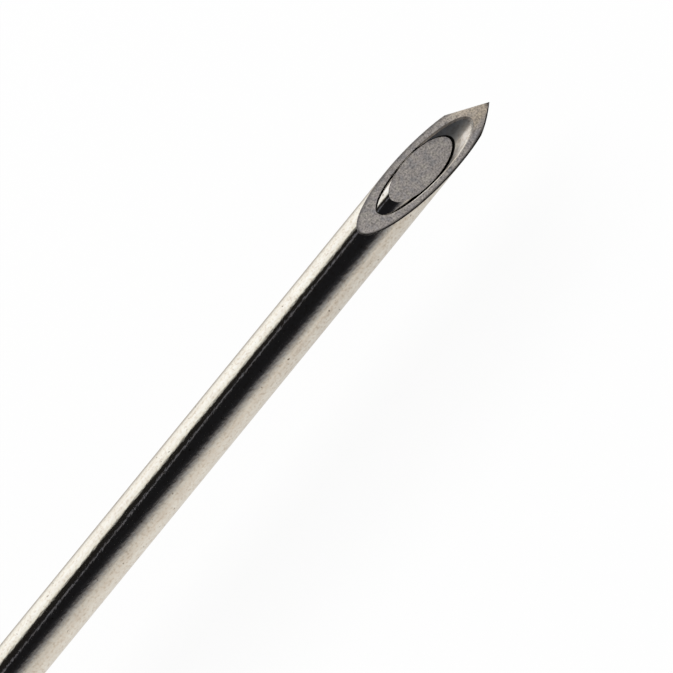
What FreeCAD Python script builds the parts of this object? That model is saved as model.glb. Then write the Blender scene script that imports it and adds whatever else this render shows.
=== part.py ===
import FreeCAD, Part
import math
import os

# A spinal needle of 18 gauge with its stylet fully home. Sizes are in millimetres, angles in degrees.
# +X runs along the needle to its sharp tip, and +Z is the side that the bevel and the keyway face.
# The origin is on the needle's axis at the front of the hub's nose, where the needle's length is
# counted from.

# Cannula: a drawn steel tube, ground to a slanting point with two side grinds.
NEEDLE_LENGTH = 88.9
CANNULA_DIAMETER = 1.27
CANNULA_BORE = 0.889
BEVEL_ANGLE = 16.15
LANCET_ANGLE = 34.2
LANCET_TURN = 69.0
LANCET_ROLL = 3.9
LANCET_SETBACK = 1.803
BOND_GROOVE_LENGTH = 0.8
BOND_GROOVE_DEPTH = 0.05

# Stylet: a solid wire that fills the tube, ground at a steeper angle so that its heel stands proud.
STYLET_BEVEL_ANGLE = 22.8
STYLET_TURN = 8.1
STYLET_SETBACK = 0.122

# Hub: one clear moulding with a ribbed nose, a waisted grip and a locking conical socket at the rear.
NOSE_LENGTH = 8.0
NOSE_FRONT_DIAMETER = 4.2
NOSE_REAR_DIAMETER = 5.4
NOSE_EDGE = 0.3
NOSE_RIBS = 4
RIB_THICKNESS = 0.7
RIB_HEIGHT = 0.45
RIB_SETBACK = 1.2
GRIP_LENGTH = 11.8
GRIP_REAR_WIDTH = 7.2
GRIP_WAIST = 5.4
GRIP_FRONT_WIDTH = 6.2
GRIP_DROP = 3.8
GRIP_RISE = 3.6
GRIP_CORNER = 1.0
GRIP_EDGE = 0.5
COLLAR_LENGTH = 4.2
COLLAR_WALL = 1.145
LUG_HEIGHT = 0.615
LUG_ARC = 76.0
LUG_THICKNESS = 1.15
LUG_LEAD = 5.0
LENS_DIAMETER = 4.0
LENS_HEIGHT = 0.4

# Hollow of the hub: the tapered socket, the fluid chamber, the funnel to the tube and the glue well.
SOCKET_MOUTH = 4.31
SOCKET_DEPTH = 9.0
SOCKET_TAPER = 0.06
CHAMBER_DIAMETER = 2.6
CHAMBER_LENGTH = 2.7
FUNNEL_LENGTH = 3.3
WELL_MOUTH = 2.9
WELL_DEPTH = 3.2
KEYWAY_WIDTH = 1.6
KEYWAY_DEPTH = 1.5

# Stylet cap: a coloured moulding with a tapered plug, a key and a grip that is hollow from the rear.
PLUG_LENGTH = 6.5
FLANGE_DIAMETER = 7.4
FLANGE_THICKNESS = 1.3
FLANGE_EDGE = 0.3
CAP_GRIP_LENGTH = 12.0
CAP_GRIP_WIDTH = 4.6
CAP_GRIP_WAIST = 3.7
CAP_GRIP_HEIGHT = 6.4
CAP_GRIP_CORNER = 1.0
CAP_REAR_EDGE = 0.25
CAP_WALL = 0.8
POCKET_DEPTH = 7.5
BOSS_WALL = 0.4
BOSS_RECESS = 1.2
WEB_THICKNESS = 0.7
CAP_WELL_MOUTH = 1.8
CAP_WELL_DEPTH = 1.6
CAP_WELL_COVER = 0.5

# Raised bars across both grips, for wet gloves.
BAR_DIAMETER = 0.7
BAR_PITCH = 1.3
BAR_PROUD = 0.18
HUB_BARS = 6
CAP_BARS = 5

# Play on each side of a pair that slides, seats or is glued, and the gaps between faces that close.
STYLET_PLAY = 0.03
BOND_PLAY = 0.015
PLUG_PLAY = 0.03
KEY_PLAY = 0.1
KEY_END_PLAY = 0.3
FACE_GAP = 0.05

# Sizes and places that follow from the ones above.
STYLET_DIAMETER = CANNULA_BORE - 2 * STYLET_PLAY
COLLAR_DIAMETER = SOCKET_MOUTH + 2 * COLLAR_WALL
LUG_SPAN = COLLAR_DIAMETER + 2 * LUG_HEIGHT
BOSS_DIAMETER = CAP_WELL_MOUTH + 2 * BOSS_WALL
GRIP_REAR = -NOSE_LENGTH - GRIP_LENGTH
HUB_REAR = GRIP_REAR - COLLAR_LENGTH
SOCKET_END = HUB_REAR + SOCKET_DEPTH
CHAMBER_END = SOCKET_END + CHAMBER_LENGTH
CANNULA_REAR = CHAMBER_END + FUNNEL_LENGTH
CAP_FRONT = HUB_REAR - FACE_GAP
FLANGE_REAR = CAP_FRONT - FLANGE_THICKNESS
CAP_REAR = FLANGE_REAR - CAP_GRIP_LENGTH
POCKET_END = CAP_REAR + POCKET_DEPTH
BOSS_REAR = CAP_REAR + BOSS_RECESS
CAP_WELL_END = BOSS_REAR + CAP_WELL_DEPTH

X_AXIS = FreeCAD.Vector(1, 0, 0)
Y_AXIS = FreeCAD.Vector(0, 1, 0)
Z_AXIS = FreeCAD.Vector(0, 0, 1)
# How far a cut runs past the surface that it opens, and the size of a body that is only cut with.
OVERRUN = 1.0
FAR = 4 * NEEDLE_LENGTH


def at(x, y=0.0, z=0.0):
    return FreeCAD.Vector(x, y, z)


def turned(profile):
    """The solid that a closed outline of (x, radius) points sweeps about the needle's axis."""
    points = [at(x, 0, radius) for x, radius in profile]
    return Part.Face(Part.makePolygon(points + points[:1])).revolve(at(0), X_AXIS, 360)


def rod(diameter, start, end):
    return Part.makeCylinder(diameter / 2, end - start, at(start), X_AXIS)


def block(low, high):
    size = high - low
    return Part.makeBox(size.x, size.y, size.z, low)


def about_axis(shape, angle):
    """A copy of the shape, turned about the needle's axis from +Z towards -Y."""
    copy = shape.copy()
    copy.rotate(at(0), X_AXIS, angle)
    return copy


def softened(shape, radius, chosen):
    """The shape with each edge that chosen accepts rounded to the radius."""
    return shape.makeFillet(radius, [edge for edge in shape.Edges if chosen(edge)])


# Needle point


def ground_away(crossing, lean, facing):
    """Everything that a flat grinding wheel removes.

    The wheel's plane crosses the needle's axis at x = crossing, at the angle lean to the axis.
    It faces the side that lies at the angle facing from +Z towards -Y.
    """
    wheel = Part.makeBox(FAR, FAR, FAR, at(-FAR / 2, -FAR / 2, 0))
    wheel.rotate(at(0), Y_AXIS, lean)
    wheel.translate(at(crossing))
    return about_axis(wheel, facing)


def bevel_crossing():
    """Where the bevel's plane crosses the axis, for a point that ends at NEEDLE_LENGTH."""
    radius = CANNULA_DIAMETER / 2
    bevel_radius = radius * math.cos(math.radians(LANCET_ROLL))
    bevel_reach = bevel_radius / math.tan(math.radians(BEVEL_ANGLE))
    side_radius = radius * math.cos(math.radians(LANCET_TURN))
    side_reach = LANCET_SETBACK + side_radius / math.tan(math.radians(LANCET_ANGLE))
    return NEEDLE_LENGTH - min(bevel_reach, side_reach)


def bond_groove():
    """A shallow vee round the tube at the hub's nose, which keys it to the adhesive."""
    surface = CANNULA_DIAMETER / 2
    half = BOND_GROOVE_LENGTH / 2
    return turned(
        [
            (-half, surface),
            (0, surface - BOND_GROOVE_DEPTH),
            (half, surface),
            (half, surface + OVERRUN),
            (-half, surface + OVERRUN),
        ]
    )


def make_cannula():
    """The tube, bored and ground. Its side grinds are cut with the tube rolled a little."""
    tube = rod(CANNULA_DIAMETER, CANNULA_REAR, NEEDLE_LENGTH + OVERRUN)
    tube = tube.cut(rod(CANNULA_BORE, CANNULA_REAR - OVERRUN, NEEDLE_LENGTH + 2 * OVERRUN))
    tube = tube.cut(bond_groove())
    crossing = bevel_crossing()
    tube = tube.cut(ground_away(crossing, BEVEL_ANGLE, 0))
    for turn in (LANCET_TURN, -LANCET_TURN):
        tube = tube.cut(ground_away(crossing + LANCET_SETBACK, LANCET_ANGLE, turn - LANCET_ROLL))
    return tube


def make_stylet_wire():
    wire = rod(STYLET_DIAMETER, BOSS_REAR + CAP_WELL_COVER, NEEDLE_LENGTH)
    return wire.cut(ground_away(bevel_crossing() - STYLET_SETBACK, STYLET_BEVEL_ANGLE, STYLET_TURN))


# Waisted grips


def waist_arc(outline, side, z):
    """One side of a grip's plan at the height z, drawn in at its middle.

    The outline is (rear x, rear half width, waist half width, front x, front half width).
    """
    rear, rear_half, waist_half, front, front_half = outline
    places = [(rear, rear_half), ((rear + front) / 2, waist_half), (front, front_half)]
    return Part.Arc(*[at(x, side * half, z) for x, half in places[::-side]])


def waisted(outline, low, high):
    """A block between the heights low and high, with both of its sides drawn in."""
    left = waist_arc(outline, 1, low)
    right = waist_arc(outline, -1, low)
    rear = Part.LineSegment(left.EndPoint, right.StartPoint)
    front = Part.LineSegment(right.EndPoint, left.StartPoint)
    plan = Part.Wire([line.toShape() for line in (left, rear, right, front)])
    return Part.Face(plan).extrude(at(0, 0, high - low))


def half_width(outline, x):
    """Half the width of a waisted block at x."""
    circle = waist_arc(outline, 1, 0).toShape().Curve
    rise = math.sqrt(circle.Radius**2 - (x - circle.Center.x) ** 2)
    return circle.Center.y - math.copysign(rise, circle.Center.y - outline[2])


def grip_bars(outline, count, height):
    """Raised round bars, which stand across both sides of a grip."""
    middle = (outline[0] + outline[3]) / 2
    bars = []
    for step in range(count):
        x = middle + (step - (count - 1) / 2) * BAR_PITCH
        y = half_width(outline, x) + BAR_PROUD - BAR_DIAMETER / 2
        for side in (1, -1):
            bars.append(Part.makeCylinder(BAR_DIAMETER / 2, height, at(x, side * y, -height / 2), Z_AXIS))
    return bars


# Hub


def nose_cone():
    return turned(
        [
            (-NOSE_LENGTH - OVERRUN, 0),
            (-NOSE_LENGTH - OVERRUN, NOSE_REAR_DIAMETER / 2),
            (-NOSE_LENGTH, NOSE_REAR_DIAMETER / 2),
            (-NOSE_EDGE, NOSE_FRONT_DIAMETER / 2),
            (0, NOSE_FRONT_DIAMETER / 2 - NOSE_EDGE),
            (0, 0),
        ]
    )


def nose_ribs():
    """Fins along the nose, which taper with it and slope down to it at their front."""
    root = NOSE_FRONT_DIAMETER / 4
    front_top = NOSE_FRONT_DIAMETER / 2 + RIB_HEIGHT
    corners = [
        at(-NOSE_LENGTH - OVERRUN, -RIB_THICKNESS / 2, root),
        at(-NOSE_LENGTH - OVERRUN, -RIB_THICKNESS / 2, NOSE_REAR_DIAMETER / 2 + RIB_HEIGHT),
        at(-NOSE_LENGTH, -RIB_THICKNESS / 2, NOSE_REAR_DIAMETER / 2 + RIB_HEIGHT),
        at(-RIB_SETBACK - RIB_HEIGHT, -RIB_THICKNESS / 2, front_top),
        at(-RIB_SETBACK, -RIB_THICKNESS / 2, front_top - RIB_HEIGHT),
        at(-RIB_SETBACK, -RIB_THICKNESS / 2, root),
    ]
    rib = Part.Face(Part.makePolygon(corners + corners[:1])).extrude(at(0, RIB_THICKNESS, 0))
    step = 360 / NOSE_RIBS
    return [about_axis(rib, step * (number + 0.5)) for number in range(NOSE_RIBS)]


def locking_lugs():
    """Two lugs on the sides of the socket's rim, whose front faces follow the lock's thread."""
    lead_angle = math.degrees(math.atan(LUG_LEAD / (math.pi * LUG_SPAN)))
    ring = rod(LUG_SPAN, HUB_REAR, HUB_REAR + 2 * LUG_THICKNESS)
    reach = LUG_SPAN * math.tan(math.radians(LUG_ARC / 2))
    corners = [at(HUB_REAR), at(HUB_REAR, LUG_SPAN, -reach), at(HUB_REAR, LUG_SPAN, reach)]
    sector = Part.Face(Part.makePolygon(corners + corners[:1])).extrude(at(2 * LUG_THICKNESS))
    ahead = block(at(0, 0, -LUG_SPAN), at(LUG_SPAN, LUG_SPAN, LUG_SPAN))
    ahead.rotate(at(0), Y_AXIS, lead_angle)
    ahead.translate(at(HUB_REAR + LUG_THICKNESS))
    lug = ring.common(sector).cut(ahead)
    return [lug, about_axis(lug, 180)]


def reading_lens():
    """A shallow dome on top of the grip, which magnifies the chamber where fluid first shows."""
    radius = (LENS_DIAMETER**2 / 4 + LENS_HEIGHT**2) / (2 * LENS_HEIGHT)
    x = (SOCKET_END + CHAMBER_END) / 2
    ball = Part.makeSphere(radius, at(x, 0, GRIP_RISE + LENS_HEIGHT - radius))
    seat = Part.makeCylinder(LENS_DIAMETER, 2 * LENS_HEIGHT, at(x, 0, GRIP_RISE - LENS_HEIGHT / 2), Z_AXIS)
    return ball.common(seat)


def hub_hollow():
    """Glue well, seat of the tube, funnel, fluid chamber and tapered socket, from front to rear."""
    seat = CANNULA_DIAMETER / 2 + BOND_PLAY
    socket_end = (SOCKET_MOUTH - SOCKET_TAPER * SOCKET_DEPTH) / 2
    return turned(
        [
            (OVERRUN, 0),
            (OVERRUN, WELL_MOUTH / 2),
            (0, WELL_MOUTH / 2),
            (-WELL_DEPTH, seat),
            (CANNULA_REAR, seat),
            (CANNULA_REAR, CANNULA_BORE / 2),
            (CHAMBER_END, CHAMBER_DIAMETER / 2),
            (SOCKET_END, CHAMBER_DIAMETER / 2),
            (SOCKET_END, socket_end),
            (HUB_REAR, SOCKET_MOUTH / 2),
            (HUB_REAR - OVERRUN, SOCKET_MOUTH / 2),
            (HUB_REAR - OVERRUN, 0),
        ]
    )


def rim_key(play, depth):
    """The slot through the top of the socket's rim, or with its play taken off, the key for it."""
    half = KEYWAY_WIDTH / 2 - play
    return block(at(HUB_REAR - OVERRUN, -half, SOCKET_MOUTH / 4), at(HUB_REAR + depth, half, LUG_SPAN / 2))


def make_needle_hub():
    outline = (GRIP_REAR, GRIP_REAR_WIDTH / 2, GRIP_WAIST / 2, -NOSE_LENGTH, GRIP_FRONT_WIDTH / 2)
    grip = waisted(outline, -GRIP_DROP, GRIP_RISE)
    grip = softened(grip, GRIP_CORNER, lambda edge: edge.BoundBox.ZLength > GRIP_RISE)
    grip = softened(grip, GRIP_EDGE, lambda edge: edge.BoundBox.ZMin > 0)
    collar = rod(COLLAR_DIAMETER, HUB_REAR, GRIP_REAR + OVERRUN)
    added = [nose_cone(), collar, reading_lens()]
    added += nose_ribs() + grip_bars(outline, HUB_BARS, GRIP_RISE) + locking_lugs()
    return grip.multiFuse(added).cut(hub_hollow()).cut(rim_key(0, KEYWAY_DEPTH)).removeSplitter()


def make_cannula_adhesive(cannula):
    """Clear adhesive that fills the well in the nose and creeps a little way up the tube."""
    creep = BOND_GROOVE_LENGTH / 2
    fill = turned(
        [
            (-WELL_DEPTH, 0),
            (-WELL_DEPTH, CANNULA_DIAMETER / 2 + BOND_PLAY),
            (0, WELL_MOUTH / 2),
            (creep / 4, (WELL_MOUTH + CANNULA_DIAMETER) / 4),
            (creep, CANNULA_DIAMETER / 2),
            (creep, 0),
        ]
    )
    lumen = rod(CANNULA_BORE, -WELL_DEPTH - OVERRUN, OVERRUN)
    return fill.cut(cannula).cut(lumen)


# Stylet cap


def cap_front():
    """The flange that covers the hub's rim, and the plug that seats in its socket."""
    plug_base = SOCKET_MOUTH / 2 - PLUG_PLAY
    plug_tip = plug_base - SOCKET_TAPER * PLUG_LENGTH / 2
    plug_end = CAP_FRONT + PLUG_LENGTH
    return turned(
        [
            (FLANGE_REAR - OVERRUN, 0),
            (FLANGE_REAR - OVERRUN, CAP_GRIP_WAIST / 2),
            (FLANGE_REAR, CAP_GRIP_WAIST / 2),
            (FLANGE_REAR, FLANGE_DIAMETER / 2 - FLANGE_EDGE),
            (FLANGE_REAR + FLANGE_EDGE, FLANGE_DIAMETER / 2),
            (CAP_FRONT - FLANGE_EDGE, FLANGE_DIAMETER / 2),
            (CAP_FRONT, FLANGE_DIAMETER / 2 - FLANGE_EDGE),
            (CAP_FRONT, plug_base),
            (plug_end - FLANGE_EDGE, plug_tip),
            (plug_end, plug_tip - FLANGE_EDGE),
            (plug_end, 0),
        ]
    )


def cap_key():
    """The key on the flange, which sets the stylet's bevel to the tube's."""
    body = rod(COLLAR_DIAMETER, CAP_FRONT - FLANGE_THICKNESS / 2, HUB_REAR + KEYWAY_DEPTH)
    return rim_key(KEY_PLAY, KEYWAY_DEPTH - KEY_END_PLAY).common(body)


def cap_grip(outline):
    grip = waisted(outline, -CAP_GRIP_HEIGHT / 2, CAP_GRIP_HEIGHT / 2)
    grip = softened(grip, CAP_GRIP_CORNER, lambda edge: edge.BoundBox.XLength > CAP_GRIP_LENGTH / 2)
    return softened(grip, CAP_REAR_EDGE, lambda edge: edge.BoundBox.XMax < CAP_REAR + CAP_REAR_EDGE)


def cap_pocket(outline):
    """The hollow in the grip, open at the rear, which keeps the moulding's walls even."""
    rear, rear_half, waist_half = outline[:3]
    hollow = (rear - OVERRUN, rear_half - CAP_WALL, waist_half - CAP_WALL, POCKET_END, waist_half - CAP_WALL)
    return waisted(hollow, CAP_WALL - CAP_GRIP_HEIGHT / 2, CAP_GRIP_HEIGHT / 2 - CAP_WALL)


def wire_bore():
    """The hole for the stylet's wire, and the glue well round its rear end."""
    seat = STYLET_DIAMETER / 2 + BOND_PLAY
    return turned(
        [
            (CAP_REAR - OVERRUN, 0),
            (CAP_REAR - OVERRUN, CAP_WELL_MOUTH / 2),
            (BOSS_REAR, CAP_WELL_MOUTH / 2),
            (CAP_WELL_END, seat),
            (CAP_FRONT + PLUG_LENGTH + OVERRUN, seat),
            (CAP_FRONT + PLUG_LENGTH + OVERRUN, 0),
        ]
    )


def make_stylet_cap():
    outline = (CAP_REAR, CAP_GRIP_WIDTH / 2, CAP_GRIP_WAIST / 2, FLANGE_REAR, CAP_GRIP_WIDTH / 2)
    boss = rod(BOSS_DIAMETER, BOSS_REAR, POCKET_END + OVERRUN)
    web_reach = (CAP_GRIP_HEIGHT - CAP_WALL) / 2
    web = block(
        at(BOSS_REAR + BOSS_RECESS, -WEB_THICKNESS / 2, -web_reach),
        at(POCKET_END + OVERRUN, WEB_THICKNESS / 2, web_reach),
    )
    added = [boss, web, cap_front(), cap_key()]
    added += grip_bars(outline, CAP_BARS, CAP_GRIP_HEIGHT / 2)
    return cap_grip(outline).cut(cap_pocket(outline)).multiFuse(added).cut(wire_bore()).removeSplitter()


def make_stylet_adhesive(wire):
    """Adhesive that buries the rear end of the wire in the cap's glue well, slightly dished."""
    fill = turned(
        [
            (BOSS_REAR + CAP_WELL_COVER / 4, 0),
            (BOSS_REAR, CAP_WELL_MOUTH / 2),
            (CAP_WELL_END, STYLET_DIAMETER / 2 + BOND_PLAY),
            (CAP_WELL_END, 0),
        ]
    )
    return fill.cut(wire)


def main():
    os.makedirs("parts", exist_ok=True)
    cannula = make_cannula()
    wire = make_stylet_wire()
    pieces = {
        "cannula": cannula,
        "needle_hub": make_needle_hub(),
        "cannula_adhesive": make_cannula_adhesive(cannula),
        "stylet_wire": wire,
        "stylet_cap": make_stylet_cap(),
        "stylet_adhesive": make_stylet_adhesive(wire),
    }
    for name, shape in pieces.items():
        shape.exportStep(f"parts/{name}.step")
        print(f"{name}: {len(shape.Solids)} solid, {shape.Volume:.2f} mm3, valid {shape.isValid()}")


main()
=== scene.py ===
"""A spinal needle: a steel cannula in a clear hub, and the capped stylet that fills it."""

import math

import bmesh
import bpy
from mathutils import Matrix, Vector


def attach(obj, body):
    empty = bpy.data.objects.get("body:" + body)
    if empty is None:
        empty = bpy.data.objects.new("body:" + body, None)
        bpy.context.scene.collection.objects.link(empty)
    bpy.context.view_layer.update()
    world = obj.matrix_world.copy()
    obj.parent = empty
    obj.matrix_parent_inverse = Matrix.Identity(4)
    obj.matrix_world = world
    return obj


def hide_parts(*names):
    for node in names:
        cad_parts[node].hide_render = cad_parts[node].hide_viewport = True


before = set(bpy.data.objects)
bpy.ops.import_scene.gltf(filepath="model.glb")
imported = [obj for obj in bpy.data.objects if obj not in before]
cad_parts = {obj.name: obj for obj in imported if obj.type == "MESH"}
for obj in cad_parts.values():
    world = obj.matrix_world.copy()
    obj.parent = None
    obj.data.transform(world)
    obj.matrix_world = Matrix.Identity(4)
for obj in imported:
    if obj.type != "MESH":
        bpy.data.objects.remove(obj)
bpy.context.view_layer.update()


# Cannula. A tube of austenitic stainless steel, drawn through dies until it is thin, straight and
# bright. A grinding wheel takes one long bevel across its end, then two lancet flats that meet in
# the point. A shallow vee round it, inside the hub's nose, keys it to the adhesive.

MILLIMETRE = 0.001
TUBE_RADIUS = 0.635
BORE_RADIUS = 0.4445
TUBE_REAR = -9.0
TUBE_POINT = 88.9
UNGROUND_END = 89.9
GROOVE_HALF_LENGTH = 0.4
GROOVE_DEPTH = 0.05
BEVEL_LEAN = 16.15
BEVEL_CROSSING = 86.762
LANCET_LEAN = 34.2
LANCET_TURN = 69.0
LANCET_ROLL = 3.9
LANCET_SETBACK = 1.803
BORE_ROUNDING = 0.055
BORE_ROUNDING_STEPS = 4
BROKEN_EDGE = 0.005
BROKEN_EDGE_STEPS = 2
ROUND_STEPS = 128
MERGE_REACH = 1e-5
CUT_REACH = 1e-6
FLAT_END = 0.9
CORNER_TURN = math.radians(30)
DRAWN, GROUND, BORE, BURNISHED = range(4)


def turned(profile):
    """A solid turned about the needle's axis from (place along it, radius) pairs, in millimetres."""
    bm = bmesh.new()
    corners = [bm.verts.new((x, 0, radius)) for x, radius in profile]
    pairs = zip(corners, corners[1:] + corners[:1])
    edges = [bm.edges.new(pair) for pair in pairs if pair[0].co.z or pair[1].co.z]
    bmesh.ops.spin(
        bm,
        geom=corners + edges,
        cent=(0, 0, 0),
        axis=(1, 0, 0),
        angle=2 * math.pi,
        steps=ROUND_STEPS,
        use_merge=True,
    )
    bmesh.ops.remove_doubles(bm, verts=bm.verts[:], dist=MERGE_REACH)
    bmesh.ops.recalc_face_normals(bm, faces=bm.faces[:])
    for face in bm.faces:
        outward = face.normal.yz.dot(face.calc_center_median().yz)
        if abs(face.normal.x) > FLAT_END:
            face.material_index = GROUND
        else:
            face.material_index = BORE if outward < 0 else DRAWN
    return bm


def facing_out(lean, facing):
    """The outward normal of a ground face, from its angle to the axis and the side that it faces."""
    lean, facing = math.radians(lean), math.radians(facing)
    return Vector(
        (math.sin(lean), -math.cos(lean) * math.sin(facing), math.cos(lean) * math.cos(facing))
    )


def grind(bm, crossing, lean, facing):
    """Takes off all that the flat side of a grinding wheel reaches, and closes the ground face.

    The wheel crosses the axis at x = crossing with the angle lean, and faces the side that lies
    at the angle facing from +Z towards -Y.
    """
    outward = facing_out(lean, facing)
    cut = bmesh.ops.bisect_plane(
        bm,
        geom=bm.verts[:] + bm.edges[:] + bm.faces[:],
        dist=CUT_REACH,
        plane_co=(crossing, 0, 0),
        plane_no=outward,
        clear_outer=True,
    )
    rim = [part for part in cut["geom_cut"] if isinstance(part, bmesh.types.BMEdge)]
    ground = bmesh.ops.triangle_fill(
        bm, edges=rim, use_beauty=True, use_dissolve=True, normal=outward
    )
    for part in ground["geom"]:
        if isinstance(part, bmesh.types.BMFace):
            part.material_index = GROUND


def beside(edge):
    """The kinds of surface that meet at an edge."""
    return {face.material_index for face in edge.link_faces}


def is_corner(edge):
    """An edge where a ground face meets another surface."""
    first, second = edge.link_faces
    return len(beside(edge)) > 1 or first.normal.angle(second.normal) > CORNER_TURN


def round_edges(bm, edges, width, steps):
    """Rounds edges as blasting and tumbling do, which leaves them burnished."""
    rounded = bmesh.ops.bevel(
        bm,
        geom=edges,
        offset=width,
        offset_type="OFFSET",
        segments=steps,
        profile=0.5,
        affect="EDGES",
        clamp_overlap=True,
        material=-1,
    )
    for face in rounded["faces"]:
        face.material_index = BURNISHED


def finished(bm, name, materials):
    """Rounds the ground edges, most of all the bore's, and makes the mesh a piece in metres."""
    bore_edges = [edge for edge in bm.edges if beside(edge) == {GROUND, BORE}]
    if bore_edges:
        round_edges(bm, bore_edges, BORE_ROUNDING, BORE_ROUNDING_STEPS)
    corners = [edge for edge in bm.edges if is_corner(edge) and BURNISHED not in beside(edge)]
    round_edges(bm, corners, BROKEN_EDGE, BROKEN_EDGE_STEPS)
    for face in bm.faces:
        face.smooth = True
    for edge in bm.edges:
        edge.smooth = not is_corner(edge)
    bmesh.ops.transform(bm, matrix=Matrix.Scale(MILLIMETRE, 4), verts=bm.verts[:])
    mesh = bpy.data.meshes.new(name)
    bm.to_mesh(mesh)
    bm.free()
    for material in materials:
        mesh.materials.append(material)
    piece = bpy.data.objects.new(name, mesh)
    bpy.context.scene.collection.objects.link(piece)
    return piece


def colour(code):
    """An sRGB hex colour as the linear values that a shader takes."""
    parts = [int(code[i : i + 2], 16) / 255 for i in (1, 3, 5)]
    linear = [p / 12.92 if p <= 0.04045 else ((p + 0.055) / 1.055) ** 2.4 for p in parts]
    return (*linear, 1.0)


def add(tree, kind, inputs, **settings):
    """Adds a node with its settings. An input is a value, or the output that is linked to it."""
    node = tree.nodes.new("ShaderNode" + kind)
    for name, value in settings.items():
        setattr(node, name, value)
    for name, value in inputs.items():
        if isinstance(value, bpy.types.NodeSocket):
            tree.links.new(value, node.inputs[name])
        else:
            node.inputs[name].default_value = value
    return node


def blank(name):
    """A new material with an empty node tree, and that tree."""
    material = bpy.data.materials.new(name)
    material.use_nodes = True
    material.node_tree.nodes.clear()
    return material, material.node_tree


def shade(ramp, stops):
    """Sets a colour ramp's stops from (place, colour) pairs, first to last."""
    elements = ramp.color_ramp.elements
    elements.remove(elements[1])
    elements[0].position = stops[0][0]
    elements[0].color = colour(stops[0][1])
    for place, code in stops[1:]:
        elements.new(place).color = colour(code)


def tinted(tree, tone, strength, stops):
    """The tone under a tint, which a strength from 0 to 1 picks from the stops."""
    ramp = add(tree, "ValToRGB", {"Fac": strength})
    shade(ramp, stops)
    both = add(
        tree,
        "Mix",
        {"Factor": 1.0, "A": tone, "B": ramp.outputs["Color"]},
        data_type="RGBA",
        blend_type="MULTIPLY",
    )
    return both.outputs["Result"]


def marked(tree, place, marks):
    """The tone of marks that lie over each other, and the pattern of each.

    The marks are (size in millimetres, detail, stops of their tint).
    """
    tone = colour("#ffffff")
    patterns = []
    for size, detail, stops in marks:
        noise = add(
            tree,
            "TexNoise",
            {"Vector": place, "Scale": 1 / (size * MILLIMETRE), "Detail": detail},
        )
        patterns.append(noise.outputs["Fac"])
        tone = tinted(tree, tone, noise.outputs["Fac"], stops)
    return tone, patterns


# Drawn stainless steel. The die leaves fine lines along the tube, a few hundredths of a millimetre
# apart, and the bright, slightly warm skin has faint cloudy patches, a close mottle and a few small
# dark pits. Shallow dimples between the lines fray the edges of what it mirrors.
DRAW_LINE = 0.04
DRAW_LINE_REACH = 5.0
DIMPLE = 0.07
DIMPLE_REACH = 0.16
DRAW_LINE_SHARE = 0.15
DRAWN_RELIEF = 0.003
FAINTEST_LINE = 0.3
DEEPEST_LINE = 0.7
CLOUD = 0.35
MOTTLE = 0.075
PIT = 0.1


def drawn_stainless(name, skin, cloudy_skin, least_rough, most_rough):
    """Stainless steel that a die has drawn, in its skin's colours and its range of roughness.

    Returns the material with its tone and its shader, for a surface that needs more than that.
    """
    steel, tree = blank(name)
    place = add(tree, "TexCoord", {}).outputs["Object"]
    tone, _ = marked(
        tree,
        place,
        [
            (CLOUD, 4.0, [(0.3, cloudy_skin), (0.62, skin)]),
            (MOTTLE, 2.0, [(0.28, "#e6dfd9"), (0.45, "#fbf8f5"), (0.6, "#ffffff")]),
            (PIT, 1.0, [(0.2, "#948d86"), (0.27, "#ffffff")]),
        ],
    )
    heights = []
    for reach, width in ((DRAW_LINE_REACH, DRAW_LINE), (DIMPLE_REACH, DIMPLE)):
        scales = [1 / (size * MILLIMETRE) for size in (reach, width, width)]
        stretched = add(tree, "Mapping", {"Vector": place, "Scale": scales})
        noise = add(tree, "TexNoise", {"Vector": stretched.outputs["Vector"], "Scale": 1.0})
        heights.append(noise.outputs["Fac"])
    lines, dimples = heights
    gloss = add(
        tree,
        "MapRange",
        {
            "Value": lines,
            "From Min": FAINTEST_LINE,
            "From Max": DEEPEST_LINE,
            "To Min": least_rough,
            "To Max": most_rough,
        },
    )
    height = add(
        tree,
        "Math",
        {0: lines, 1: DRAW_LINE_SHARE, 2: dimples},
        operation="MULTIPLY_ADD",
    )
    relief = add(
        tree,
        "Bump",
        {
            "Height": height.outputs["Value"],
            "Strength": 1.0,
            "Distance": DRAWN_RELIEF * MILLIMETRE,
        },
    )
    shader = add(
        tree,
        "BsdfPrincipled",
        {
            "Base Color": tone,
            "Metallic": 1.0,
            "Roughness": gloss.outputs["Result"],
            "Normal": relief.outputs["Normal"],
        },
    )
    add(tree, "OutputMaterial", {"Surface": shader.outputs["BSDF"]})
    return steel, tone, shader


bright_skin, _, _ = drawn_stainless("drawn_stainless_skin", "#fffdf6", "#f6f2ea", 0.06, 0.1)

# The bore is drawn over a plug that leaves it dull. Its far wall is darkened to a bluish grey:
# painted shade. A black line of painted shade lies round the stylet's ground end, in the crevice
# between it and the bore. A band of the near wall, close below the bevel, has little metal in its
# shading, which shows it white: a painted highlight.
FAR_WALL_SHADE_FROM = -0.12
FAR_WALL_SHADE_TO = 0.3
STYLET_LEAN = 22.8
STYLET_TURN = 8.1
STYLET_SETBACK = 0.122
BORE_CREVICE_SHADE = (-0.008, 0.002)
BORE_METALLIC = 0.8
HIGHLIGHT_DEPTH = (-0.12, -0.09)
HIGHLIGHT_FRONT = (BEVEL_CROSSING + 0.5, BEVEL_CROSSING + 0.95)
HIGHLIGHT_SIDE = (-0.08, -0.16)
HIGHLIGHT_METALLIC = 0.1


def over_ground(tree, place, crossing, lean, turn):
    """How high a point lies over the ground plane that crosses the axis at the crossing."""
    outward = facing_out(lean, turn)
    height = add(tree, "VectorMath", {0: place, 1: outward}, operation="DOT_PRODUCT")
    start = crossing * MILLIMETRE * outward.x
    above = add(tree, "Math", {0: height.outputs["Value"], 1: start}, operation="SUBTRACT")
    return above.outputs["Value"]


def over_stylet(tree, place):
    """How high a point lies over the plane of the stylet's ground end."""
    return over_ground(tree, place, BEVEL_CROSSING - STYLET_SETBACK, STYLET_LEAN, STYLET_TURN)


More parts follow.
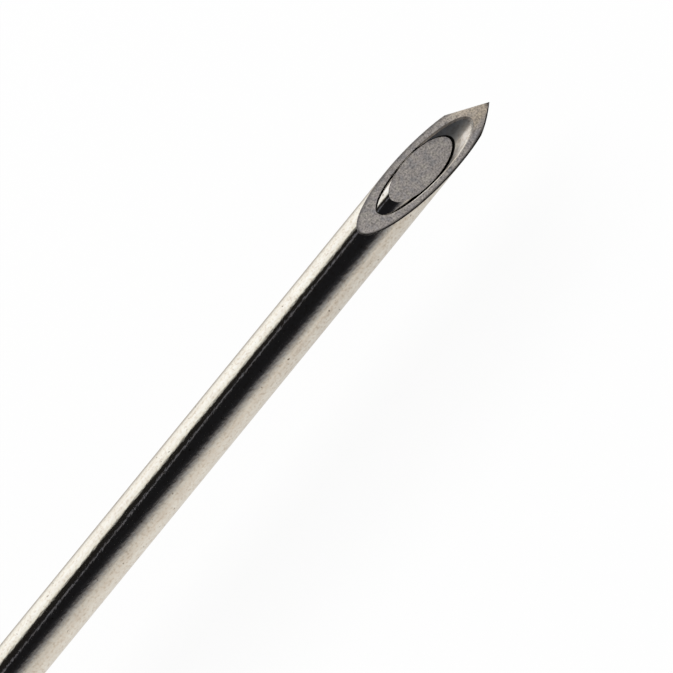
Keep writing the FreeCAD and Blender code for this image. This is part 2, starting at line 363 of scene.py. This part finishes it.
def crevice_shaded(tree, tone, height, shade_span):
    """Painted crevice shade over the tone: black up to the lower height, clean from the upper one.
    """
    clear = add(
        tree,
        "MapRange",
        {
            "Value": height,
            "From Min": shade_span[0] * MILLIMETRE,
            "From Max": shade_span[1] * MILLIMETRE,
        },
    )
    both = add(
        tree,
        "Mix",
        {"Factor": clear.outputs["Result"], "A": colour("#0e0d0b"), "B": tone},
        data_type="RGBA",
    )
    return both.outputs["Result"]


dull_bore, tone, shader = drawn_stainless("drawn_stainless_bore", "#f0ece6", "#d6d3cf", 0.36, 0.48)
tree = dull_bore.node_tree
place = add(tree, "TexCoord", {}).outputs["Object"]
parts = add(tree, "SeparateXYZ", {"Vector": place})
far_wall = add(
    tree,
    "MapRange",
    {
        "Value": parts.outputs["Y"],
        "From Min": FAR_WALL_SHADE_FROM * MILLIMETRE,
        "From Max": FAR_WALL_SHADE_TO * MILLIMETRE,
    },
)
# Painted shade: the far wall of the bore is darkened to a bluish grey.
far_wall_painted_shade = [(0.0, "#f1efed"), (0.5, "#a4a8ae"), (1.0, "#6f757f")]
tone = tinted(tree, tone, far_wall.outputs["Result"], far_wall_painted_shade)
# Painted shade: a black line in the crevice round the stylet's ground end.
tone = crevice_shaded(tree, tone, over_stylet(tree, place), BORE_CREVICE_SHADE)
tree.links.new(tone, shader.inputs["Base Color"])
# Painted highlight: a band of the near wall below the bevel is made nearly non-metallic, so it shows
# white.
reach = []
for value, (start, end) in (
    (over_ground(tree, place, BEVEL_CROSSING, BEVEL_LEAN, 0), HIGHLIGHT_DEPTH),
    (parts.outputs["X"], HIGHLIGHT_FRONT),
    (parts.outputs["Y"], HIGHLIGHT_SIDE),
):
    span = add(
        tree,
        "MapRange",
        {"Value": value, "From Min": start * MILLIMETRE, "From Max": end * MILLIMETRE},
    )
    reach.append(span.outputs["Result"])
below, forward, nearside = reach
front = add(tree, "Math", {0: below, 1: forward}, operation="MULTIPLY")
highlighted = add(tree, "Math", {0: front.outputs["Value"], 1: nearside}, operation="MULTIPLY")
metallic = add(
    tree,
    "MapRange",
    {"Value": highlighted.outputs["Value"], "To Min": BORE_METALLIC, "To Max": HIGHLIGHT_METALLIC},
)
tree.links.new(metallic.outputs["Result"], shader.inputs["Metallic"])

# The rim of the bore is burnished after grinding. Its near side and its front are blasted, which
# turns them from a bright mirror into a satin white, duller halfway. Over the far wall its front is
# painted darker: painted shade. Painted shade of the crevice by the stylet's end darkens it on the
# far side only.
RIM_CREVICE_SHADE = (0.007, 0.014)
SATIN_FRONT = (BEVEL_CROSSING - 0.2, BEVEL_CROSSING + 0.7)
SATIN_NEAR = (-0.35, -0.1)
RIM_WEAR = (BEVEL_CROSSING - 0.6, BEVEL_CROSSING + 1.2)
DARK_FRONT = (BEVEL_CROSSING + 0.5, BEVEL_CROSSING + 0.9)
DARK_FAR = (-0.05, 0.05)

burnished_edge, tone, shader = drawn_stainless(
    "burnished_stainless_edge", "#fbf6ee", "#e8e2d9", 0.22, 0.34
)
tree = burnished_edge.node_tree
place = add(tree, "TexCoord", {}).outputs["Object"]
parts = add(tree, "SeparateXYZ", {"Vector": place})
spans = []
for side, (start, end), first, last in (
    ("X", SATIN_FRONT, 1.0, 0.72),
    ("Y", SATIN_NEAR, 0.45, 1.0),
    ("X", RIM_WEAR, 0.0, 1.0),
    ("X", DARK_FRONT, 0.0, 1.0),
    ("Y", DARK_FAR, 0.0, 1.0),
):
    span = add(
        tree,
        "MapRange",
        {
            "Value": parts.outputs[side],
            "From Min": start * MILLIMETRE,
            "From Max": end * MILLIMETRE,
            "To Min": first,
            "To Max": last,
        },
    )
    spans.append(span.outputs["Result"])
satin_front, satin_near, worn, dark_front, dark_far = spans
satin = add(tree, "Math", {0: satin_front, 1: satin_near}, operation="MINIMUM")
tree.links.new(satin.outputs["Value"], shader.inputs["Metallic"])
wear = [(0.0, "#ffffff"), (0.5, "#cbc7c3"), (0.67, "#e6e2de"), (0.9, "#ffffff")]
tone = tinted(tree, tone, worn, wear)
# Painted shade: the front of the rim over the far wall is darker.
darkened = add(tree, "Math", {0: dark_front, 1: dark_far}, operation="MULTIPLY")
far_front_shade = [(0.0, "#ffffff"), (1.0, "#aeaaa9")]
tone = tinted(tree, tone, darkened.outputs["Value"], far_front_shade)
# Painted shade of the crevice by the stylet's end, on the far side of the rim only.
height = add(tree, "Math", {0: over_stylet(tree, place)}, operation="ABSOLUTE")
near = add(tree, "Math", {0: parts.outputs["Y"], 1: 0.0}, operation="MINIMUM")
height = add(
    tree,
    "Math",
    {0: height.outputs["Value"], 1: near.outputs["Value"]},
    operation="SUBTRACT",
)
tone = crevice_shaded(tree, tone, height.outputs["Value"], RIM_CREVICE_SHADE)
tree.links.new(tone, shader.inputs["Base Color"])

# Ground stainless steel. The wheel's grit leaves a grey, frosted face: a close speckle of small
# scratches and pits that scatters the light. It also rolls a thin ragged burr over the outer rim,
# which is painted dark as painted shade, widest at the point and on the near side. The far lancet
# is paler than the near one, by less metal in its shading: painted light on the side that faces
# the soft box. It is straw coloured as well.
GRIT = 0.042
GRIT_PATCH = 0.16
GRIT_RELIEF = 0.01
GROUND_ROUGH = 0.74
BURR_SHADE = 0.052
BURR_SHADE_SIDE = (-0.1, 0.2)
BURR_SHADE_POINT = (88.75, 88.87)
LANCET_START = (87.7, 88.3)
LANCET_LIT_SIDES = (-0.25, 0.3)
STRAW_SIDE = (-0.35, -0.15)

ground_face, tree = blank("ground_stainless_face")
surface = add(tree, "TexCoord", {})
place = surface.outputs["Object"]
parts = add(tree, "SeparateXYZ", {"Vector": place})
frosted, patterns = marked(
    tree,
    place,
    [
        (GRIT, 3.0, [(0.22, "#8a8785"), (0.5, "#dad6d3"), (0.78, "#fffdfb")]),
        (GRIT_PATCH, 2.0, [(0.32, "#e2e2e5"), (0.5, "#f7f3f2"), (0.68, "#fffdf8")]),
    ],
)
grit = patterns[0]

# Where the lancets and the point begin, where the burr's painted shade thins out, and how the
# lancets' sides differ in painted light.
spans = []
for side, (start, end), first, last in (
    ("X", LANCET_START, 0.0, 1.0),
    ("X", BURR_SHADE_POINT, 0.0, 1.0),
    ("Y", BURR_SHADE_SIDE, 1.0, 0.4),
    ("Y", LANCET_LIT_SIDES, 0.69, 0.43),
    ("Y", STRAW_SIDE, 0.0, 1.0),
):
    span = add(
        tree,
        "MapRange",
        {
            "Value": parts.outputs[side],
            "From Min": start * MILLIMETRE,
            "From Max": end * MILLIMETRE,
            "To Min": first,
            "To Max": last,
        },
    )
    spans.append(span.outputs["Result"])
lancet, shaded_point, near_side_shade, lancet_metallic, straw_side = spans

# How far a point lies inside the outer rim, from how its distance to the axis falls off. It counts
# for less on the lancets, where the burr's painted shade is wider.
radial = add(tree, "VectorMath", {0: place, 1: (0.0, 1.0, 1.0)}, operation="MULTIPLY")
squared = add(
    tree,
    "VectorMath",
    {0: radial.outputs["Vector"], 1: radial.outputs["Vector"]},
    operation="DOT_PRODUCT",
)
fall = add(
    tree,
    "VectorMath",
    {0: radial.outputs["Vector"], 1: surface.outputs["Normal"]},
    operation="CROSS_PRODUCT",
)
fall = add(tree, "VectorMath", {0: fall.outputs["Vector"]}, operation="LENGTH")
inside = add(
    tree,
    "Math",
    {0: (TUBE_RADIUS * MILLIMETRE) ** 2, 1: squared.outputs["Value"]},
    operation="SUBTRACT",
)
inside = add(
    tree,
    "Math",
    {0: inside.outputs["Value"], 1: fall.outputs["Value"]},
    operation="DIVIDE",
)
widening = add(tree, "MapRange", {"Value": lancet, "To Min": 0.5, "To Max": 0.3})
inside = add(
    tree,
    "Math",
    {0: inside.outputs["Value"], 1: widening.outputs["Result"]},
    operation="MULTIPLY",
)
# Painted shade: a thin ragged band along the outer rim, and the whole point, are painted dark.
ragged = add(
    tree,
    "Math",
    {0: grit, 1: -BURR_SHADE * MILLIMETRE, 2: inside.outputs["Value"]},
    operation="MULTIPLY_ADD",
)
burr_shade = add(
    tree,
    "MapRange",
    {
        "Value": ragged.outputs["Value"],
        "From Min": 0.0,
        "From Max": BURR_SHADE * MILLIMETRE,
        "To Min": 1.0,
        "To Max": 0.0,
    },
)
burr_shade = add(tree, "Math", {0: burr_shade.outputs["Result"], 1: near_side_shade}, operation="MULTIPLY")
burr_shade = add(tree, "Math", {0: burr_shade.outputs["Value"], 1: shaded_point}, operation="MAXIMUM")
warm = add(tree, "Math", {0: lancet, 1: straw_side}, operation="MINIMUM")
straw = tinted(tree, frosted, warm.outputs["Value"], [(0.0, "#ffffff"), (1.0, "#fff8ea")])
tone = add(
    tree,
    "Mix",
    {"Factor": burr_shade.outputs["Value"], "A": straw, "B": colour("#2f2b29")},
    data_type="RGBA",
)
# Painted light: the far lancet is less metallic, so it shows paler than the near one.
metallic = add(tree, "MapRange", {"Value": lancet, "To Min": 0.71, "To Max": lancet_metallic})
relief = add(
    tree,
    "Bump",
    {"Height": grit, "Strength": 0.6, "Distance": GRIT_RELIEF * MILLIMETRE},
)
shader = add(
    tree,
    "BsdfPrincipled",
    {
        "Base Color": tone.outputs["Result"],
        "Metallic": metallic.outputs["Result"],
        "Roughness": GROUND_ROUGH,
        "Normal": relief.outputs["Normal"],
    },
)
add(tree, "OutputMaterial", {"Surface": shader.outputs["BSDF"]})

tube = turned(
    [
        (TUBE_REAR, BORE_RADIUS),
        (TUBE_REAR, TUBE_RADIUS),
        (-GROOVE_HALF_LENGTH, TUBE_RADIUS),
        (0, TUBE_RADIUS - GROOVE_DEPTH),
        (GROOVE_HALF_LENGTH, TUBE_RADIUS),
        (UNGROUND_END, TUBE_RADIUS),
        (UNGROUND_END, BORE_RADIUS),
    ]
)
grind(tube, BEVEL_CROSSING, BEVEL_LEAN, 0)
for turn in (LANCET_TURN, -LANCET_TURN):
    grind(tube, BEVEL_CROSSING + LANCET_SETBACK, LANCET_LEAN, turn - LANCET_ROLL)
cannula = finished(tube, "cannula_tube", [bright_skin, ground_face, dull_bore, burnished_edge])
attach(cannula, "needle")
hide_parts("cannula")


# Needle hub. One clear moulding of polycarbonate: ribbed nose, waisted grip with bars for the
# fingers, a lens over the fluid chamber, and a Luer lock collar with two lugs at the rear.

# Moulded polycarbonate. The polished mould leaves it glass clear with a very faint ripple.
RIPPLE = 0.9
RIPPLE_RELIEF = 0.05

clear_polycarbonate, tree = blank("moulded_clear_polycarbonate")
place = add(tree, "TexCoord", {}).outputs["Object"]
ripple = add(
    tree,
    "TexNoise",
    {"Vector": place, "Scale": 1 / (RIPPLE * MILLIMETRE), "Detail": 2.0},
)
relief = add(
    tree,
    "Bump",
    {
        "Height": ripple.outputs["Fac"],
        "Strength": 0.08,
        "Distance": RIPPLE_RELIEF * MILLIMETRE,
    },
)
shader = add(
    tree,
    "BsdfPrincipled",
    {
        "Base Color": colour("#f3f7f8"),
        "Roughness": 0.06,
        "IOR": 1.585,
        "Transmission Weight": 1.0,
        "Normal": relief.outputs["Normal"],
    },
)
add(tree, "OutputMaterial", {"Surface": shader.outputs["BSDF"]})
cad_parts["needle_hub"].data.materials[0] = clear_polycarbonate


# Cannula adhesive. A bead of clear epoxy, filled into the well round the tube and cured by light.

# Cured epoxy. It is clear and a little yellow, with a faint swirl, and its top has settled smooth.
SWIRL = 0.5


def clouded(tree, place, size, code, palest, deepest):
    """A colour that varies in soft clouds between two shares of itself."""
    noise = add(
        tree,
        "TexNoise",
        {"Vector": place, "Scale": 1 / (size * MILLIMETRE), "Detail": 2.0},
    )
    share = add(
        tree,
        "MapRange",
        {"Value": noise.outputs["Fac"], "To Min": palest, "To Max": deepest},
    )
    tone = add(
        tree,
        "VectorMath",
        {0: colour(code)[:3], "Scale": share.outputs["Result"]},
        operation="SCALE",
    )
    return tone.outputs["Vector"]


cured_epoxy, tree = blank("cured_clear_epoxy")
place = add(tree, "TexCoord", {}).outputs["Object"]
shader = add(
    tree,
    "BsdfPrincipled",
    {
        "Base Color": clouded(tree, place, SWIRL, "#f1e6bf", 0.94, 1.0),
        "Roughness": 0.12,
        "IOR": 1.54,
        "Transmission Weight": 0.85,
    },
)
add(tree, "OutputMaterial", {"Surface": shader.outputs["BSDF"]})
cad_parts["cannula_adhesive"].data.materials[0] = cured_epoxy


# Stylet wire. A straight length of drawn stainless steel that fills the bore, ground at its end to
# nearly the cannula's bevel, so that no tissue is cored. It lies against one side of the bore.

WIRE_RADIUS = 0.4145
WIRE_REAR = -35.65
WIRE_REST = 0.028

wire = turned(
    [
        (WIRE_REAR, 0),
        (WIRE_REAR, WIRE_RADIUS),
        (TUBE_POINT, WIRE_RADIUS),
        (TUBE_POINT, 0),
    ]
)
grind(wire, BEVEL_CROSSING - STYLET_SETBACK, STYLET_LEAN, STYLET_TURN)
bmesh.ops.translate(wire, vec=(0, WIRE_REST, 0), verts=wire.verts[:])

# Drawn stainless steel, as on the cannula. A finer die leaves the wire whiter and brighter.
bright_wire, _, _ = drawn_stainless("drawn_stainless_wire", "#ffffff", "#f6f2ec", 0.05, 0.1)
stylet = finished(wire, "stylet_rod", [bright_wire, ground_face, dull_bore, burnished_edge])
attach(stylet, "stylet")
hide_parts("stylet_wire")


# Stylet cap. An injection moulding of polypropylene in the pink that stands for this gauge: a
# tapered plug, a flange and a waisted grip, hollow behind, with a key that turns it one way.

# Moulded polypropylene. Its mould is lightly spark eroded, which leaves a satin skin, and the melt
# leaves faint clouds in its colour where it has flowed.
SPARK_GRAIN = 0.06
SPARK_RELIEF = 0.01
FLOW_CLOUD = 3.0

pink_polypropylene, tree = blank("moulded_pink_polypropylene")
place = add(tree, "TexCoord", {}).outputs["Object"]
grain = add(
    tree,
    "TexNoise",
    {"Vector": place, "Scale": 1 / (SPARK_GRAIN * MILLIMETRE), "Detail": 2.0},
)
relief = add(
    tree,
    "Bump",
    {
        "Height": grain.outputs["Fac"],
        "Strength": 0.25,
        "Distance": SPARK_RELIEF * MILLIMETRE,
    },
)
shader = add(
    tree,
    "BsdfPrincipled",
    {
        "Base Color": clouded(tree, place, FLOW_CLOUD, "#e07f9f", 0.93, 1.05),
        "Roughness": 0.38,
        "IOR": 1.49,
        "Normal": relief.outputs["Normal"],
    },
)
add(tree, "OutputMaterial", {"Surface": shader.outputs["BSDF"]})
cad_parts["stylet_cap"].data.materials[0] = pink_polypropylene


# Stylet adhesive. The same clear epoxy, filled into the well at the rear end of the wire.

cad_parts["stylet_adhesive"].data.materials[0] = cured_epoxy


# Studio. A white table under the needle, one long soft box beside it, and the dim room above it
# that the bright steel mirrors as its dark stripe.

TABLE_HEIGHT = -3.8
TABLE_MIDDLE = 26.0
TABLE_HALF = 800.0

bm = bmesh.new()
bmesh.ops.create_grid(bm, x_segments=1, y_segments=1, size=TABLE_HALF)
bmesh.ops.translate(bm, vec=(TABLE_MIDDLE, 0, TABLE_HEIGHT), verts=bm.verts[:])
bmesh.ops.transform(bm, matrix=Matrix.Scale(MILLIMETRE, 4), verts=bm.verts[:])
mesh = bpy.data.meshes.new("table")
bm.to_mesh(mesh)
bm.free()
table = bpy.data.objects.new("table", mesh)
bpy.context.scene.collection.objects.link(table)

# White table. It shows as plain white and keeps a share of the shadow on it. Mirrored in the steel
# it is darkest under the needle, where its own shade lies, and whitest towards the soft box. On the
# near side it dims a little towards the point.
TABLE_SHADOW = 0.15
TABLE_REACH = 20.0
TABLE_BANDS = (
    (-14.0, "#c9c1b7"),
    (-3.0, "#d8d4ce"),
    (0.5, "#d4cfc9"),
    (2.0, "#958e87"),
    (4.5, "#b9b3ab"),
    (8.0, "#efede8"),
    (14.0, "#fbf9f4"),
)
POINT_SHADE = 0.84
POINT_SHADE_ALONG = (76.5, 82.5)
POINT_SHADE_END = 2.0

white_table, tree = blank("white_table")
place = add(tree, "TexCoord", {})
parts = add(tree, "SeparateXYZ", {"Vector": place.outputs["Object"]})
fade = add(
    tree,
    "MapRange",
    {
        "Value": parts.outputs["Y"],
        "From Min": -TABLE_REACH * MILLIMETRE,
        "From Max": TABLE_REACH * MILLIMETRE,
    },
)
bands = add(tree, "ValToRGB", {"Fac": fade.outputs["Result"]})
shade(bands, [(0.5 + y / (2 * TABLE_REACH), code) for y, code in TABLE_BANDS])
dimming = add(
    tree,
    "MapRange",
    {
        "Value": parts.outputs["X"],
        "From Min": POINT_SHADE_ALONG[0] * MILLIMETRE,
        "From Max": POINT_SHADE_ALONG[1] * MILLIMETRE,
        "To Min": 1.0,
        "To Max": POINT_SHADE,
    },
)
dimmed = add(
    tree,
    "MapRange",
    {
        "Value": parts.outputs["Y"],
        "From Min": 0.0,
        "From Max": POINT_SHADE_END * MILLIMETRE,
        "To Min": dimming.outputs["Result"],
        "To Max": 1.0,
    },
)
mirrored = add(
    tree,
    "VectorMath",
    {0: bands.outputs["Color"], "Scale": dimmed.outputs["Result"]},
    operation="SCALE",
)
seen = add(tree, "LightPath", {})
shown = add(
    tree,
    "Mix",
    {
        "Factor": seen.outputs["Is Glossy Ray"],
        "A": colour("#ffffff"),
        "B": mirrored.outputs["Vector"],
    },
    data_type="RGBA",
)
direct = add(
    tree,
    "Math",
    {0: seen.outputs["Is Camera Ray"], 1: seen.outputs["Is Glossy Ray"]},
    operation="MAXIMUM",
)
direct = add(
    tree,
    "Math",
    {0: direct.outputs["Value"], 1: seen.outputs["Is Transmission Ray"]},
    operation="MAXIMUM",
)
share = add(
    tree,
    "Math",
    {0: direct.outputs["Value"], 1: 1 - TABLE_SHADOW},
    operation="MULTIPLY",
)
paint = add(tree, "BsdfDiffuse", {"Color": colour("#fafafa")})
glow = add(tree, "Emission", {"Color": shown.outputs["Result"], "Strength": 1.0})
both = add(
    tree,
    "MixShader",
    {0: share.outputs["Value"], 1: paint.outputs["BSDF"], 2: glow.outputs["Emission"]},
)
add(tree, "OutputMaterial", {"Surface": both.outputs["Shader"]})
white_table.cycles.emission_sampling = "NONE"
table.data.materials.append(white_table)

# The room that the steel mirrors, by the angle in degrees about the needle from straight up: the
# soft box on the far side, the dim room above, and a pale wall on the near side, which stands a
# little askew. Plain rays see even light.
FAR_SIDE = (
    (-180, "#ffffff"),
    (-82.5, "#ffffff"),
    (-55.5, "#ebeae3"),
    (-44.5, "#201e1b"),
    (-7.5, "#171719"),
)
NEAR_SIDE = (
    (24, "#171719"),
    (40, "#242427"),
    (47, "#4a494b"),
    (58, "#7d7c7d"),
    (84, "#c8c3bc"),
)
NEAR_SKEW = math.radians(105)
NEAR_SHIFT = math.radians(13)
EVEN_LIGHT = 0.7

world = bpy.data.worlds.new("studio")
bpy.context.scene.world = world
world.use_nodes = True
world.cycles.sampling_method = "NONE"
tree = world.node_tree
tree.nodes.clear()
place = add(tree, "TexCoord", {})
parts = add(tree, "SeparateXYZ", {"Vector": place.outputs["Generated"]})
near = add(tree, "Math", {0: parts.outputs["Y"], 1: -1.0}, operation="MULTIPLY")
angle = add(
    tree,
    "Math",
    {0: near.outputs["Value"], 1: parts.outputs["Z"]},
    operation="ARCTAN2",
)
askew = add(
    tree,
    "Math",
    {0: parts.outputs["X"], 1: -NEAR_SKEW, 2: angle.outputs["Value"]},
    operation="MULTIPLY_ADD",
)
askew = add(tree, "Math", {0: askew.outputs["Value"], 1: -NEAR_SHIFT}, operation="ADD")
sides = []
for side, panels in ((angle, FAR_SIDE), (askew, NEAR_SIDE)):
    turn = add(
        tree,
        "MapRange",
        {"Value": side.outputs["Value"], "From Min": -math.pi, "From Max": math.pi},
    )
    sides.append(add(tree, "ValToRGB", {"Fac": turn.outputs["Result"]}))
    shade(sides[-1], [((degrees + 180) / 360, code) for degrees, code in panels])
room = add(
    tree,
    "Mix",
    {"Factor": 1.0, "A": sides[0].outputs["Color"], "B": sides[1].outputs["Color"]},
    data_type="RGBA",
    blend_type="LIGHTEN",
)

# A lamp rail crosses the dim room a little askew: the steel mirrors it as one thin faint line.
RAIL_PLACE = math.radians(-31.3)
RAIL_SKEW = math.radians(-82.6)
RAIL_HALF = math.radians(2.6)

slant = add(
    tree,
    "Math",
    {0: parts.outputs["X"], 1: -RAIL_SKEW, 2: angle.outputs["Value"]},
    operation="MULTIPLY_ADD",
)
on_rail = add(
    tree,
    "Math",
    {0: slant.outputs["Value"], 1: RAIL_PLACE, 2: RAIL_HALF},
    operation="COMPARE",
)
railed = add(
    tree,
    "Mix",
    {
        "Factor": on_rail.outputs["Value"],
        "A": room.outputs["Result"],
        "B": colour("#5e5e64"),
    },
    data_type="RGBA",
)
seen = add(tree, "LightPath", {})
mirrored = add(tree, "Background", {"Color": railed.outputs["Result"], "Strength": 1.0})
even = add(tree, "Background", {"Color": colour("#ffffff"), "Strength": EVEN_LIGHT})
white = add(tree, "Background", {"Color": colour("#ffffff"), "Strength": 1.0})
lighting = add(
    tree,
    "MixShader",
    {
        0: seen.outputs["Is Glossy Ray"],
        1: even.outputs["Background"],
        2: mirrored.outputs["Background"],
    },
)
shown = add(
    tree,
    "Math",
    {0: seen.outputs["Is Camera Ray"], 1: seen.outputs["Is Transmission Ray"]},
    operation="MAXIMUM",
)
whole = add(
    tree,
    "MixShader",
    {0: shown.outputs["Value"], 1: lighting.outputs["Shader"], 2: white.outputs["Background"]},
)
add(tree, "OutputWorld", {"Surface": whole.outputs["Shader"]})

# The soft box itself, for the shading of the plastics and the shadow on the table.
BOX_LENGTH = 0.5
BOX_WIDTH = 0.3
BOX_WATTS = 1.3
BOX_PLACE = Vector((0.03, 0.3, 0.45))
BOX_AIM = Vector((0.03, 0, 0))

box_light = bpy.data.lights.new("soft_box", "AREA")
box_light.shape = "RECTANGLE"
box_light.size = BOX_LENGTH
box_light.size_y = BOX_WIDTH
box_light.energy = BOX_WATTS
soft_box = bpy.data.objects.new("soft_box", box_light)
bpy.context.scene.collection.objects.link(soft_box)
soft_box.location = BOX_PLACE
soft_box.rotation_euler = (BOX_AIM - BOX_PLACE).to_track_quat("-Z", "Y").to_euler()
soft_box.visible_glossy = False


# Camera. It looks steeply down on the point from the near side, so that the needle rises to the
# right across the picture and its rear runs out of it.

TO_CAMERA = Vector((0.0872, -0.2932, 0.9520)).normalized()
NEEDLE_SLOPE = math.radians(50.755)
DISTANCE = 100.0
AIM_RIGHT = -2.098
AIM_UP = -4.061
SENSOR = 36.0
LENS = 224.7

along = (Vector((1, 0, 0)) - TO_CAMERA * TO_CAMERA.x).normalized()
across = TO_CAMERA.cross(along)
right = along * math.cos(NEEDLE_SLOPE) - across * math.sin(NEEDLE_SLOPE)
up = along * math.sin(NEEDLE_SLOPE) + across * math.cos(NEEDLE_SLOPE)
aim = Vector((BEVEL_CROSSING, 0, 0)) + right * AIM_RIGHT + up * AIM_UP
camera_place = (aim + TO_CAMERA * DISTANCE) * MILLIMETRE
lens = bpy.data.cameras.new("camera")
lens.sensor_width = SENSOR
lens.lens = LENS
lens.clip_start = 0.001
camera = bpy.data.objects.new("camera", lens)
bpy.context.scene.collection.objects.link(camera)
turned_to = Matrix((right, up, TO_CAMERA)).transposed().to_4x4()
camera.matrix_world = Matrix.Translation(camera_place) @ turned_to
bpy.context.scene.camera = camera
bpy.context.scene.view_settings.view_transform = "Standard"
